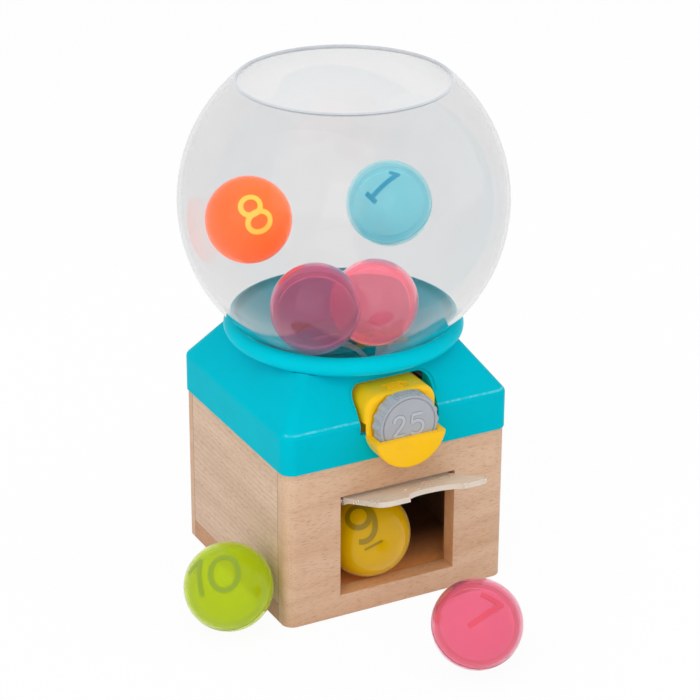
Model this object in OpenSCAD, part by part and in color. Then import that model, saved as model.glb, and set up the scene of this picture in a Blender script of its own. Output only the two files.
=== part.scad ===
// Toy gumball machine: a wooden box with a moulded cover, a clear open bowl,
// a coin lever that lets one ball at a time into a chute, and loose hollow balls.
// Millimetres. +Z is up, the doorway faces -Y, the origin is under the middle of the box.

/* [Box] */
// Width of the wooden box
box_w = 130; // [118:1:150]
// Depth of the wooden box
box_d = 124; // [116:1:140]
// Height of the wooden box
box_h = 88.6; // [84:0.2:100]
// Thickness of the four upright panels
panel_t = 10; // [8:0.5:12]
// Thickness of the bottom board
board_t = 10.5; // [8:0.5:12]
// Radius of the box's upright outer edges
edge_r = 6.35; // [2:0.05:8]

/* [Doorway] */
// Width of the doorway
door_w = 67.5; // [60:0.5:76]
// Height of the doorway's sill above the floor
sill_h = 12.4; // [11.5:0.1:13]
// Height of the doorway's lintel above the floor
lintel_h = 70.2; // [69.6:0.1:71]
// Width of the flap
flap_w = 62.5; // [50:0.5:66]
// Length of the flap, from its hinge axis
flap_len = 48; // [40:0.5:50]
// Thickness of the flap's plate
flap_t = 2.6; // [2:0.1:3]
// Radius of the flap's hinge barrel
barrel_r = 2.6; // [2.2:0.1:3]
// Radius of the finger notch in the flap
notch_r = 16; // [8:0.5:18]
// Radius of the flap's free corners
flap_corner_r = 7; // [2:0.5:9]
// Angle of the raised flap above level
flap_lift = 21.5; // [0:0.5:25]
// Radius of the flap's hinge pin
flap_pin_r = 1.25; // [1:0.05:1.5]

/* [Cover] */
// Overhang of the cover past the wooden box
cover_over = 0.76; // [0.5:0.02:2]
// Height of the cover's upright band
band_h = 22.4; // [18:0.2:24]
// Wall thickness of the cover
cover_t = 2.6; // [2:0.1:3.2]
// Rounding of the edge above the band
crease_r = 3; // [1:0.25:5]
// Inward run of the cover's sloping faces for each millimetre of rise
slope_run = 0.79; // [0.7:0.01:0.85]

/* [Bowl] */
// Outer radius of the bowl
bowl_r = 86.2; // [80:0.2:92]
// Wall thickness of the bowl
bowl_t = 2.8; // [2:0.1:3.5]
// Radius of the circle in which the bowl crosses the height of the lip's middle
bowl_seat_r = 52.46; // [51.5:0.02:53.5]
// Radius of the bowl's mouth, at the middle of its rolled rim
mouth_r = 55; // [50:0.5:60]
// Radius of the ball hole in the bottom of the bowl
hole_r = 27; // [26:0.25:28]

/* [Collar] */
// Radius of the collar's rounded lip, in section
lip_r = 5.2; // [4:0.1:5.6]
// Distance from the box's front face in to the circle that the lip follows
lip_inset = 3.8; // [2.5:0.1:5]
// Height of the lip's middle above the floor
lip_z = 138.4; // [137:0.2:140]
// Wall thickness of the collar's dish
dish_t = 3; // [2:0.25:3.5]

/* [Coin lever] */
// Half width of the lever's head
head_hw = 20.6; // [19:0.2:21]
// Height of the centre of the head's round lower end
head_z = 106.4; // [105:0.2:108]
// Height of the head's flat top
head_top = 124.3; // [122:0.1:125]
// Rounding of the head's top corners
head_corner_r = 9; // [5:0.5:11]
// Distance from the band to the outside of the coin pocket
pocket_reach = 12.94; // [12:0.02:14]
// Thickness of the pocket's front wall
pocket_wall = 2.7; // [2:0.1:3.2]
// Height of the pocket's flat rim
pocket_rim = 102.5; // [100:0.25:104]
// Half width of the lever's opening in the cover
slot_hw = 22.8; // [22.2:0.1:24]
// Bottom of the lever's opening in the cover
slot_bottom = 103.3; // [101:0.1:104]
// Top of the lever's opening in the cover
slot_top = 126; // [125.5:0.1:127]
// Distance from the lever's axle to the inside of the front panel
axle_back = 12; // [11:0.25:13]
// Height of the lever's axle
axle_z = 78; // [77.5:0.1:79]
// Radius of the lever's axle
axle_r = 2; // [1.5:0.1:2.3]
// Radial play of the parts that turn on a pin
run_gap = 0.05; // [0.02:0.01:0.1]
// Radius of the lever's hub
hub_r = 4.6; // [4:0.1:5]

/* [Coin] */
// Radius of the coin
coin_r = 17.5; // [16.5:0.1:17.8]
// Thickness of the coin
coin_t = 8; // [7:0.1:8.2]
// Number of scallops round the coin
scallops = 18; // [8:1:24]

/* [Balls] */
// Radius of a ball
ball_r = 23.4; // [22.3:0.1:23.6]
// Wall thickness of a ball
ball_t = 1.6; // [1.2:0.1:2.2]

/* [Ball path] */
// Half width of the channel under the bowl
channel_hw = 24.4; // [23.9:0.1:24.6]
// Wall thickness of the channel
channel_t = 2.4; // [2:0.1:2.4]
// Fall of the channel's floor, in degrees
channel_fall = 8; // [5:0.5:10]
// Height of the centre of a ball that waits in the channel
wait_z = 102; // [101.5:0.1:102.4]
// Radius of the gate's hoop, inside
hoop_r = 25; // [24.6:0.1:25.4]
// Height of the hoop's centre
hoop_z = 89; // [88:0.1:89.6]
// Thickness of the hoop, front to back
hoop_t = 3; // [2:0.25:3.5]
// Thickness of the gate's arms
arm_t = 2.8; // [2:0.1:3]
// Height of the return ramp at the back panel
ramp_h = 40; // [34:0.5:44]
// Thickness of the return ramp
ramp_t = 4; // [3:0.5:5]
// Height of the ramp's side rails above the floor
rail_h = 46; // [40:0.5:50]

/* [Fasteners] */
// Radius of the wood screws
screw_r = 1.5; // [1.2:0.1:1.8]
// Radius of the screw heads
screw_head_r = 3; // [2.6:0.1:3.4]
// Gap from the wooden corner blocks to the lever's axle brackets
block_gap = 2.4; // [1:0.1:3.5]
// Height of the wooden corner blocks
block_h = 20; // [14:0.5:24]

/* [Hidden] */

teal = [0.0, 0.69, 0.79];
beech = [0.82, 0.69, 0.58];
sun_yellow = [0.94, 0.77, 0.19];
clear_grey = [0.85, 0.88, 0.9, 0.35];

seat_gap = 0.3;
hx = box_w/2;
hy = box_d/2;
inner_x = hx - panel_t;
inner_y = hy - panel_t;

// cover
cx = hx + cover_over;
cy = hy + cover_over;
crease_z = box_h + band_h;
cover_top = lip_z - 0.4;
lip_ring_r = hy - lip_inset;
bowl_z = lip_z + sqrt(pow(bowl_r, 2) - pow(bowl_seat_r, 2));
cover_corner_r = edge_r + cover_over;

// doorway and flap
flap_y = -hy + 3.4;
flap_z = lintel_h - barrel_r - 1.4;
pin_grip = 4;

// lever
axle_y = -inner_y + axle_back;
band_y = -cy;
pocket_y = band_y - pocket_reach;
pocket_r = coin_r + seat_gap;
coin_y = pocket_y + pocket_wall + seat_gap;
coin_z = head_z + 1.87;
body_y = coin_y + coin_t + seat_gap;
neck_bottom = slot_bottom + 5.9;
web_hw = 12;
hub_hw = channel_hw + channel_t + 0.4;
arm_x = hub_hw + 0.6;
ear_t = 3;
ear_x = arm_x + arm_t + 5;
foot_t = 2.6;
block_w = inner_x - ear_x - ear_t - block_gap;
pin_y = axle_y - 1;
pin_z = axle_z + 15;
pin_r = 1.5;

// ball path
wait_y = -0.6;
floor_y = 4;
hoop_y = 19.5;
ramp_toe = -12;
ramp_angle = atan((ramp_h - board_t)/(inner_y - ramp_toe));

// balls
ball_floor = board_t + ball_r + seat_gap;
sill_y = -inner_y;
door_ball_y = sill_y + sqrt(pow(ball_r + seat_gap, 2) - pow(ball_floor - sill_h, 2));
roll_r = bowl_r - bowl_t - ball_r - seat_gap;
hole_edge_z = bowl_z - sqrt(pow(bowl_r - bowl_t, 2) - pow(hole_r, 2));
rose_r = 16.4;
rose_z = hole_edge_z + sqrt(pow(ball_r + seat_gap, 2) - pow(hole_r - rose_r, 2));

// a place on the bowl's inside: compass angle, and angle up from the bottom
function in_bowl(turn, up) = [roll_r*sin(up)*cos(turn), roll_r*sin(up)*sin(turn), bowl_z - roll_r*cos(up)];

// places of the loose balls
blue_at = in_bowl(36.4, 69.12);
orange_at = in_bowl(127.23, 69.52);
magenta_at = in_bowl(220.1, 39.4);
rose_at = [rose_r*cos(-31.8), rose_r*sin(-31.8), rose_z];
yellow_at = [-8.3, door_ball_y, ball_floor];
green_at = [-hx - ball_r - 1.4, -44.4, ball_r];
pink_at = [5.2, -136.4, ball_r];

// ---------- shared shapes ----------

// runs the child's outline, drawn in x and z, from front to back
module slab(front, back) {
    translate([0, back, 0]) rotate([90, 0, 0]) linear_extrude(back - front) children();
}

// runs the child's outline, drawn in y and z, from left to right
module sheet(left, right) {
    translate([left, 0, 0]) rotate([90, 0, 90]) linear_extrude(right - left) children();
}

// a pin along x
module rod(r, left, right, y, z) {
    translate([left, y, z]) rotate([0, 90, 0]) cylinder(r = r, h = right - left, $fn = 48);
}

// a pan-head screw that points up, with its head's seat at z = 0
module screw_up(len) {
    cylinder(r = screw_r, h = len, $fn = 32);
    translate([0, 0, -2]) cylinder(r = screw_head_r, h = 2, $fn = 32);
}

// ---------- wooden box ----------

// an upright panel across the box with its two outer edges rounded, outside at +y
module end_panel() {
    linear_extrude(box_h) intersection() {
        translate([-hx, inner_y]) square([box_w, panel_t]);
        union() {
            translate([-hx, 0]) square([box_w, hy - edge_r]);
            translate([-hx + edge_r, 0]) square([box_w - 2*edge_r, hy]);
            for (s = [-1, 1]) translate([s*(hx - edge_r), hy - edge_r]) circle(r = edge_r, $fn = 64);
        }
    }
}

module front_panel() color(beech) difference() {
    mirror([0, 1, 0]) end_panel();
    translate([-door_w/2, -hy - 1, sill_h]) cube([door_w, panel_t + 2, lintel_h - sill_h]);
    rod(flap_pin_r + run_gap, -door_w/2 - pin_grip, door_w/2 + pin_grip, flap_y, flap_z);
    bracket_screw_holes();
}

module back_panel() color(beech) end_panel();

module side_panel(s) {
    translate([s > 0 ? inner_x : -hx, -inner_y, board_t]) difference() {
        cube([panel_t, 2*inner_y, box_h - board_t]);
        for (y = [-1, 1]) translate([panel_t/2, inner_y + y*board_screw_y, -1])
            cylinder(r = screw_r, h = board_screw_len - board_t + 2, $fn = 32);
    }
}

module left_panel() color(beech) side_panel(-1);

module right_panel() color(beech) side_panel(1);

board_screw_y = inner_y*0.62;
board_screw_len = board_t + 14;

module bottom_board() color(beech) difference() {
    translate([-hx, -inner_y, 0]) cube([box_w, 2*inner_y, board_t]);
    board_screw_places() {
        translate([0, 0, -1]) cylinder(r = screw_r + run_gap, h = board_t + 2, $fn = 32);
        translate([0, 0, -0.01]) cylinder(r1 = screw_head_r + 0.06, r2 = screw_r + run_gap, h = 2.2, $fn = 32);
    }
}

module board_screw_places() {
    for (sx = [-1, 1], sy = [-1, 1])
        translate([sx*(hx - panel_t/2), sy*board_screw_y, 0]) children();
}

// countersunk screws that hold the bottom board to the side panels
module board_screws() color("silver") board_screw_places() {
    translate([0, 0, 0.2]) cylinder(r1 = screw_head_r - 0.3, r2 = screw_r, h = 1.8, $fn = 32);
    translate([0, 0, 1]) cylinder(r = screw_r, h = board_screw_len - 1, $fn = 32);
}

module corner_places(z) {
    for (sx = [-1, 1], sy = [-1, 1])
        translate([sx*(inner_x - block_w/2), sy*(inner_y - block_w/2), z]) children();
}

module corner_blocks() color(beech) difference() {
    corner_places(box_h - block_h)
        translate([-block_w/2, -block_w/2, 0]) cube([block_w, block_w, block_h]);
    corner_places(box_h - block_h - 1) cylinder(r = screw_r + run_gap, h = block_h + 2, $fn = 32);
}

// screws that hold the cover, from inside the box
module cover_screws() color("silver") corner_places(box_h - block_h) screw_up(block_h + 9);

// ---------- cover ----------

// a disc with a rounded upper edge, for one corner of the cover
module soft_disc(r, edge, h) {
    rotate_extrude($fn = 40) {
        square([r - edge, h]);
        square([r, h - edge]);
        translate([r - edge, h - edge]) circle(r = edge, $fn = 24);
    }
}

// the cover's solid outer form, taken in by t on every side
module cover_form(t) {
    rise = cover_top - crease_z;
    r_low = cover_corner_r - t;
    r_top = 5;
    edge = max(crease_r - t, 0.6);
    x_top = cx - slope_run*rise;
    y_top = cy - slope_run*rise;
    hull() for (sx = [-1, 1], sy = [-1, 1]) {
        translate([sx*(cx - cover_corner_r), sy*(cy - cover_corner_r), box_h - (t > 0 ? 1 : 0)])
            soft_disc(r_low, edge, band_h - t*0.62 + (t > 0 ? 1 : 0));
        translate([sx*(x_top - r_top), sy*(y_top - r_top), cover_top - 2 - t*0.3])
            cylinder(r = r_top - t, h = 2, $fn = 40);
    }
}

// the room that the collar takes out of the cover
module collar_room() {
    translate([0, 0, bowl_z]) sphere(r = bowl_r + seat_gap + dish_t + seat_gap, $fn = 180);
    translate([0, 0, lip_z]) rotate_extrude($fn = 120) translate([lip_ring_r, 0])
        circle(r = lip_r + seat_gap, $fn = 48);
}

module slot_outline(grow) {
    r = 6 + grow;
    w = slot_hw + grow;
    top = slot_top + grow;
    translate([-w, slot_bottom]) square([2*w, top - r - slot_bottom]);
    translate([-w + r, slot_bottom]) square([2*(w - r), top - slot_bottom]);
    for (s = [-1, 1]) translate([s*(w - r), top - r]) circle(r = r, $fn = 48);
}

// the shallow step round the top of the lever's opening
module slot_step() {
    a = atan(slope_run);
    run = (slot_top - crease_z)/cos(a);
    w = slot_hw + 1.9;
    translate([0, -cy, crease_z]) rotate([90 - a, 0, 0]) translate([0, 0, -1.3])
        linear_extrude(6) {
            translate([-w, 8]) square([2*w, run - 8 - 5.6]);
            translate([-w + 7.5, 8]) square([2*(w - 7.5), run - 8 + 1.9]);
            for (s = [-1, 1]) translate([s*(w - 7.5), run + 1.9 - 7.5]) circle(r = 7.5, $fn = 48);
        }
}

module top_cover() color(teal) difference() {
    union() {
        difference() {
            cover_form(0);
            cover_form(cover_t);
        }
        intersection() {
            cover_form(0);
            corner_places(box_h) {
                translate([-block_w/2, -block_w/2, 0]) cube([block_w, block_w, cover_t]);
                cylinder(r = 4, h = 13, $fn = 40);
                rotate([0, 0, 0]) translate([-1, -1, 0]) cube([2, 2, 2]);
            }
        }
        corner_pads();
        slot_sleeve();
    }
    collar_room();
    corner_places(box_h - 1) cylinder(r = screw_r, h = 12, $fn = 32);
    slab(-cy - 2, -cy + slope_run*(slot_top - crease_z) + 8) slot_outline(0);
    slot_step();
}

// the sleeve that lines the lever's opening, at its sides and top
module slot_sleeve() {
    intersection() {
        cover_form(0);
        slab(-cy + 1, -cy + slope_run*(slot_top - crease_z) + 6) difference() {
            slot_outline(1.6);
            translate([0, -0.01]) slot_outline(0);
        }
    }
}

// pads that join each screw boss to the cover's corner
module corner_pads() {
    intersection() {
        cover_form(0);
        for (sx = [-1, 1], sy = [-1, 1])
            translate([sx*(cx - 9), sy*(cy - 9), box_h + cover_t/2])
                cube([18, 18, cover_t], center = true);
    }
}

// ---------- collar and bowl ----------

module bowl_collar() color(teal) {
    inner = bowl_r + seat_gap;
    flange_top = channel_flange_z + channel_t;
    difference() {
        union() {
            rotate_extrude($fn = 160) difference() {
                union() {
                    intersection() {
                        translate([0, bowl_z]) circle(r = inner + dish_t, $fn = 240);
                        translate([hole_r + 0.3, lip_z - 30]) square([lip_ring_r - hole_r, 30]);
                    }
                    translate([lip_ring_r, lip_z]) circle(r = lip_r, $fn = 64);
                    translate([bowl_seat_r, lip_z - 1.6])
                        square([max(lip_ring_r - bowl_seat_r, 1), 3.2]);
                }
                translate([0, bowl_z]) circle(r = inner, $fn = 240);
            }
            // bosses for the channel's screws
            channel_screw_places(flange_top) cylinder(r = 3.4, h = 3.4, $fn = 32);
        }
        channel_screw_places(flange_top - 1) cylinder(r = channel_screw_r, h = 3.9, $fn = 24);
    }
}

module globe_bowl() color(clear_grey) {
    mouth_z = bowl_z + sqrt(pow(bowl_r - bowl_t/2, 2) - pow(mouth_r, 2));
    rotate_extrude($fn = 160) {
        difference() {
            translate([0, bowl_z]) circle(r = bowl_r, $fn = 240);
            translate([0, bowl_z]) circle(r = bowl_r - bowl_t, $fn = 240);
            translate([-bowl_r - 1, bowl_z - bowl_r - 1]) square([bowl_r + 1 + hole_r, bowl_r]);
            translate([-bowl_r - 1, mouth_z]) square([2*bowl_r + 2, bowl_r]);
            translate([-bowl_r - 1, bowl_z - bowl_r - 1]) square([bowl_r + 1, 2*bowl_r + 2]);
        }
        translate([mouth_r, mouth_z]) circle(r = bowl_t/2 + 0.1, $fn = 32);
    }
}

// ---------- coin lever ----------

// the head's outline in x and z: round below, flat with round corners above
module head_outline(inset) {
    w = head_hw - inset;
    top = head_top - inset;
    r = head_corner_r - inset;
    intersection() {
        translate([0, head_z]) circle(r = w, $fn = 72);
        translate([-w, head_z - w]) square([2*w, w]);
    }
    translate([-w, head_z - 0.01]) square([2*w, top - r - head_z]);
    translate([-w + r, head_z]) square([2*(w - r), top - head_z]);
    for (s = [-1, 1]) translate([s*(w - r), top - r]) circle(r = r, $fn = 48);
}

// a run of the head with its front edge rounded by r
module head_run(front, back, r) {
    hull() {
        for (a = [0:22.5:90]) slab(front + r*(1 - sin(a)), back) head_outline(r*(1 - cos(a)));
    }
}

module lever_web() {
    sheet(-web_hw, web_hw) polygon([
        [axle_y - 14, neck_bottom - 0.5], [axle_y - 7.6, axle_z + 13], [axle_y - 4, axle_z],
        [axle_y + 4, axle_z], [axle_y + 4.3, axle_z + 26], [axle_y - 2, head_top - 6],
        [axle_y - 14, head_top - 6]]);
}

module coin_lever() color(sun_yellow) difference() {
    union() {
        // coin pocket in front of the band
        intersection() {
            head_run(pocket_y, band_y - 0.35, 1);
            translate([-30, pocket_y - 1, head_z - head_hw - 1])
                cube([60, 30, pocket_rim - head_z + head_hw + 1]);
        }
        // body behind the coin, which runs through the cover
        difference() {
            head_run(body_y, axle_y - 4, 3);
            translate([-30, band_y - 0.35, head_z - head_hw - 1])
                cube([60, 40, neck_bottom - head_z + head_hw + 1]);
        }
        lever_web();
        rod(hub_r, -hub_hw, hub_hw, axle_y, axle_z);
    }
    // the pocket's inside and the coin's round seat
    slab(pocket_y + pocket_wall, body_y + 0.01) translate([0, coin_z])
        circle(r = pocket_r, $fn = 96);
    slab(pocket_y + pocket_wall, body_y + 0.01) translate([-pocket_r, coin_z])
        square([2*pocket_r, 40]);
    slab(body_y, body_y + 0.8) translate([0, coin_z]) circle(r = pocket_r, $fn = 96);
    // hollow back of the head
    slab(body_y + 3.4, body_y + 12.4) intersection() {
        head_outline(2.4);
        translate([-head_hw, neck_bottom + 2.4]) square([2*head_hw, head_top - neck_bottom]);
    }
    // finger grip on top: three grooves in an oval dish
    translate([0, (body_y + band_y)/2 + 6.4, head_top]) grip_cut(15, 7.6);
    rod(axle_r + run_gap, -hub_hw - 1, hub_hw + 1, axle_y, axle_z);
    rod(pin_r + run_gap, -web_hw - 1, web_hw + 1, pin_y, pin_z);
}

// an oval dish with three bars left standing in it
module grip_cut(w, d) {
    depth = 0.7;
    difference() {
        translate([0, 0, -depth]) linear_extrude(depth + 1) {
            square([w - d, d], center = true);
            for (s = [-1, 1]) translate([s*(w - d)/2, 0]) circle(r = d/2, $fn = 32);
        }
        for (i = [-1:1]) translate([0, i*d/3.6, -depth])
            cube([w - d + 1.6 - abs(i)*1.6, 0.9, 2*depth - 0.1], center = true);
    }
}

module coin() color([0.68, 0.7, 0.72]) {
    grip_hw = coin_r*0.41;
    lobe_r = 2*PI*coin_r/scallops/2*0.86;
    translate([0, coin_y, coin_z]) difference() {
        union() {
            slab(0, coin_t) circle(r = coin_r - 1, $fn = 96);
            slab(0.6, coin_t - 0.6) for (i = [0:scallops - 1])
                rotate(i*360/scallops) translate([coin_r - lobe_r, 0]) circle(r = lobe_r, $fn = 24);
        }
        // raised border and field on both faces
        for (f = [-0.01, coin_t - 0.5]) slab(f, f + 0.51) difference() {
            circle(r = coin_r - 2.2, $fn = 96);
            circle(r = coin_r - 3, $fn = 96);
        }
        // flat finger grip on the top edge
        slab(-0.01, coin_t + 0.01) translate([-grip_hw, coin_r - 1.3]) square([2*grip_hw, 3]);
    }
    translate([0, coin_y + coin_t/2, coin_z + coin_r - 1.3]) for (i = [-1:1])
        translate([0, i*2, 0]) cube([2*grip_hw - 3.4, 1, 1.1], center = true);
}

module lever_axle() color("silver") rod(axle_r, -ear_x - ear_t - 1, ear_x + ear_t + 1, axle_y, axle_z);

module axle_bracket() {
    foot_h = 15.6;
    foot_z = lintel_h + 1.6;
    difference() {
        union() {
            translate([ear_x - 9, -inner_y, foot_z]) cube([ear_t + 9, foot_t, foot_h]);
            sheet(ear_x, ear_x + ear_t) {
                translate([-inner_y, axle_z - 5.5]) square([axle_back, 11]);
                translate([axle_y, axle_z]) circle(r = 5.5, $fn = 48);
            }
        }
        rod(axle_r + run_gap, ear_x - 1, ear_x + ear_t + 1, axle_y, axle_z);
        bracket_screw_holes();
    }
}

module right_axle_bracket() color("white") axle_bracket();

module left_axle_bracket() color("white") mirror([1, 0, 0]) axle_bracket();

module bracket_screw_places() {
    for (s = [-1, 1], dz = [-2.9, 6])
        translate([s*(ear_x - 5.4), -inner_y + foot_t, axle_z + dz]) rotate([90, 0, 0]) children();
}

module bracket_screw_holes() {
    bracket_screw_places() cylinder(r = screw_r + run_gap, h = 9.2, $fn = 32);
}

module bracket_screws() color("silver") bracket_screw_places() screw_up(9);

// one wire swept along the points p
function unit(v) = v/norm(v);
module wire(p, r, sides) {
    n = len(p);
    tangents = [for (i = [0:n - 1]) unit(p[min(i + 1, n - 1)] - p[max(i - 1, 0)])];
    rings = [for (i = [0:n - 1]) let (t = tangents[i], u = unit(cross(t, [0.03, 0.1, 1])), v = cross(t, u))
        for (k = [0:sides - 1]) p[i] + r*(cos(k*360/sides)*u + sin(k*360/sides)*v)];
    faces = concat(
        [[for (k = [0:sides - 1]) k]],
        [for (i = [0:n - 2], k = [0:sides - 1])
            [i*sides + k, (i + 1)*sides + k, (i + 1)*sides + (k + 1)%sides, i*sides + (k + 1)%sides]],
        [[for (k = [sides - 1:-1:0]) (n - 1)*sides + k]]);
    polyhedron(points = rings, faces = faces, convexity = 6);
}

// torsion spring on the axle: one leg in front of the gate's pin, one on the bracket's foot
spring_r = 3.3;
spring_wire = 0.4;
spring_turns = 3;
module return_spring() color("silver") {
    x0 = arm_x + arm_t + 1;
    steps = 16;
    count = (spring_turns + 0.25)*steps;
    pitch = (ear_x - 0.9 - x0)/count;
    coil = [for (i = [0:count]) let (a = 180 + i*360/steps)
        [x0 + i*pitch, axle_y + spring_r*cos(a), axle_z + spring_r*sin(a)]];
    upper = [[x0, axle_y - spring_r, pin_z + 1.2], [x0, axle_y - spring_r, axle_z + 2.4]];
    lower = [[ear_x - 0.9, axle_y - 2, axle_z - spring_r], [ear_x - 0.9, -inner_y + foot_t + 0.5, axle_z - spring_r]];
    wire(concat(upper, coil, lower), spring_wire, 6);
}

// ---------- gate ----------

module gate_arm_outline() {
    translate([axle_y, axle_z]) circle(r = hub_r, $fn = 40);
    polygon([[axle_y - 4.2, axle_z + 1.6], [axle_y + 3, axle_z - 3.4],
             [hoop_y + hoop_t, hoop_z - 12], [hoop_y + hoop_t, hoop_z + 2],
             [hoop_y - 6, hoop_z + 2], [pin_y + 6, pin_z + 1], [pin_y, pin_z + 3.6],
             [pin_y - 3.6, pin_z]]);
    translate([pin_y, pin_z]) circle(r = 3.6, $fn = 32);
}

module ball_gate() color("whitesmoke") difference() {
    union() {
        for (s = [-1, 1]) sheet(s > 0 ? arm_x : -arm_x - arm_t, s > 0 ? arm_x + arm_t : -arm_x)
            gate_arm_outline();
        slab(hoop_y, hoop_y + hoop_t) difference() {
            union() {
                translate([0, hoop_z]) circle(r = hoop_r + 3, $fn = 96);
                translate([-arm_x - arm_t, hoop_z - 8]) square([2*(arm_x + arm_t), 10]);
            }
            translate([0, hoop_z]) circle(r = hoop_r, $fn = 96);
            translate([-hoop_r, hoop_z - 40]) square([2*hoop_r, 40]);
        }
    }
    rod(axle_r + run_gap, -arm_x - arm_t - 1, arm_x + arm_t + 1, axle_y, axle_z);
    rod(pin_r + run_gap, -arm_x - arm_t - 1, arm_x + arm_t + 1, pin_y, pin_z);
}

module gate_pin() color("silver") rod(pin_r, -arm_x - arm_t - 1.8, arm_x + arm_t + 1.8, pin_y, pin_z);

// ---------- ball path ----------

channel_screw_r = 1.2;
dish_r = bowl_r + seat_gap + dish_t;
channel_flange_z = bowl_z - sqrt(pow(dish_r, 2) - pow(hole_r + 0.3, 2)) - 0.4 - channel_t;

module channel_screw_places(z) {
    for (a = [200, 270, 340]) rotate(a) translate([31.6, 0, z]) children();
}

// plan of the channel: round in front, open behind
module channel_plan(r, back) {
    circle(r = r, $fn = 120);
    translate([-r, 0]) square([2*r, back]);
}

module ball_channel() color("whitesmoke") {
    out = channel_hw + channel_t;
    floor_z = wait_z - ball_r/cos(channel_fall) + wait_y*tan(channel_fall);
    wall_top = channel_flange_z + channel_t;
    difference() {
        union() {
            // walls
            difference() {
                translate([0, 0, floor_z - 8]) linear_extrude(wall_top - floor_z + 8)
                    intersection() {
                        channel_plan(out, 30);
                        translate([-out, -out]) square([2*out, out + 8]);
                    }
                translate([0, 0, floor_z - 9]) linear_extrude(wall_top - floor_z + 20)
                    channel_plan(channel_hw, 40);
            }
            // flange that screws up under the collar
            translate([0, 0, channel_flange_z]) linear_extrude(channel_t) difference() {
                union() {
                    circle(r = out, $fn = 96);
                    for (a = [200, 270, 340]) rotate(a) translate([31.6, 0]) circle(r = 4.4, $fn = 40);
                    for (a = [200, 270, 340]) rotate(a) translate([24, -4.4]) square([7.6, 8.8]);
                }
                circle(r = channel_hw, $fn = 120);
                translate([-40, 8]) square([80, 40]);
            }
            // sloping floor
            intersection() {
                translate([0, 0, floor_z - 12]) linear_extrude(40) channel_plan(out, floor_y);
                translate([-40, 0, floor_z]) rotate([-channel_fall, 0, 0])
                    translate([0, -40, -channel_t]) cube([80, 40 + floor_y/cos(channel_fall), channel_t]);
            }
        }
        channel_screw_places(channel_flange_z - 1)
            cylinder(r = channel_screw_r + run_gap, h = channel_t + 2, $fn = 24);
        // trims the walls level with the floor's underside
        translate([-40, 0, floor_z]) rotate([-channel_fall, 0, 0])
            translate([0, -60, -channel_t - 20]) cube([80, 120, 20]);
    }
}

module channel_screws() color("silver") channel_screw_places(channel_flange_z) {
    cylinder(r = channel_screw_r, h = channel_t + 2.7, $fn = 24);
    translate([0, 0, -1.6]) cylinder(r = 2.4, h = 1.6, $fn = 32);
}

module return_ramp() color(beech) {
    hw = channel_hw + 0.6;
    rail_t = 3;
    toe = 1.2;
    fall = tan(ramp_angle);
    sheet(-hw - rail_t, hw + rail_t) polygon([
        [ramp_toe, board_t], [ramp_toe, board_t + toe], [inner_y, ramp_h + toe],
        [inner_y, ramp_h - ramp_t], [ramp_toe + ramp_t/fall + 6, board_t]]);
    for (s = [-1, 1]) sheet(s > 0 ? hw : -hw - rail_t, s > 0 ? hw + rail_t : -hw)
        polygon([[ramp_toe, board_t], [ramp_toe, board_t + 6], [ramp_toe + 14, rail_h - 10],
                 [inner_y - 24, rail_h], [inner_y, rail_h], [inner_y, board_t]]);
}

// ---------- flap ----------

module door_flap() color(clear_grey) translate([0, flap_y, flap_z]) difference() {
    union() {
        rod(barrel_r, -flap_w/2, flap_w/2, 0, 0);
        rotate([-flap_lift, 0, 0]) translate([0, 0, -flap_t/2]) linear_extrude(flap_t)
            flap_outline();
    }
    rod(flap_pin_r + run_gap, -flap_w/2 - 1, flap_w/2 + 1, 0, 0);
}

// the flap's plate seen from above, hinge along x, free edge at -y
module flap_outline() {
    w = flap_w/2;
    r = flap_corner_r;
    root = flap_pin_r + run_gap + 0.5;
    difference() {
        union() {
            translate([-w, -flap_len + r]) square([2*w, flap_len - r - root]);
            translate([-w + r, -flap_len]) square([2*(w - r), flap_len - root]);
            for (s = [-1, 1]) translate([s*(w - r), -flap_len + r]) circle(r = r, $fn = 48);
        }
        translate([0, -flap_len - notch_r*0.15]) circle(r = notch_r, $fn = 72);
    }
}

module flap_pin() color("silver") rod(flap_pin_r, -door_w/2 - pin_grip + 0.2, door_w/2 + pin_grip - 0.2, flap_y, flap_z);

// ---------- balls ----------

// a hollow ball with a shallow groove round its seam
module ball(at, turn, tint) {
    color(tint) translate(at) rotate(turn) difference() {
        sphere(r = ball_r, $fn = 120);
        sphere(r = ball_r - ball_t, $fn = 120);
        rotate_extrude($fn = 120) translate([ball_r + 0.25, 0]) circle(r = 0.7, $fn = 24);
    }
}

module ball_1_blue() ball(blue_at, [60, 20, 0], [0.45, 0.72, 0.8]);
module ball_8_orange() ball(orange_at, [55, -15, 0], [1, 0.44, 0.18]);
module ball_magenta() ball(magenta_at, [80, 10, 0], [0.7, 0.25, 0.45]);
module ball_rose() ball(rose_at, [70, 35, 0], [0.93, 0.4, 0.5]);
module ball_9_yellow() ball(yellow_at, [90, 0, -20], [0.82, 0.68, 0.08]);
module ball_10_green() ball(green_at, [75, -20, 0], [0.68, 0.76, 0.12]);
module ball_7_pink() ball(pink_at, [60, 10, 0], [0.93, 0.42, 0.52]);

front_panel();
back_panel();
left_panel();
right_panel();
bottom_board();
corner_blocks();
board_screws();
cover_screws();
top_cover();
bowl_collar();
globe_bowl();
coin_lever();
lever_axle();
left_axle_bracket();
right_axle_bracket();
bracket_screws();
return_spring();
ball_gate();
gate_pin();
ball_channel();
channel_screws();
return_ramp();
door_flap();
flap_pin();
coin();
ball_1_blue();
ball_8_orange();
ball_magenta();
ball_rose();
ball_9_yellow();
ball_10_green();
ball_7_pink();
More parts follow.
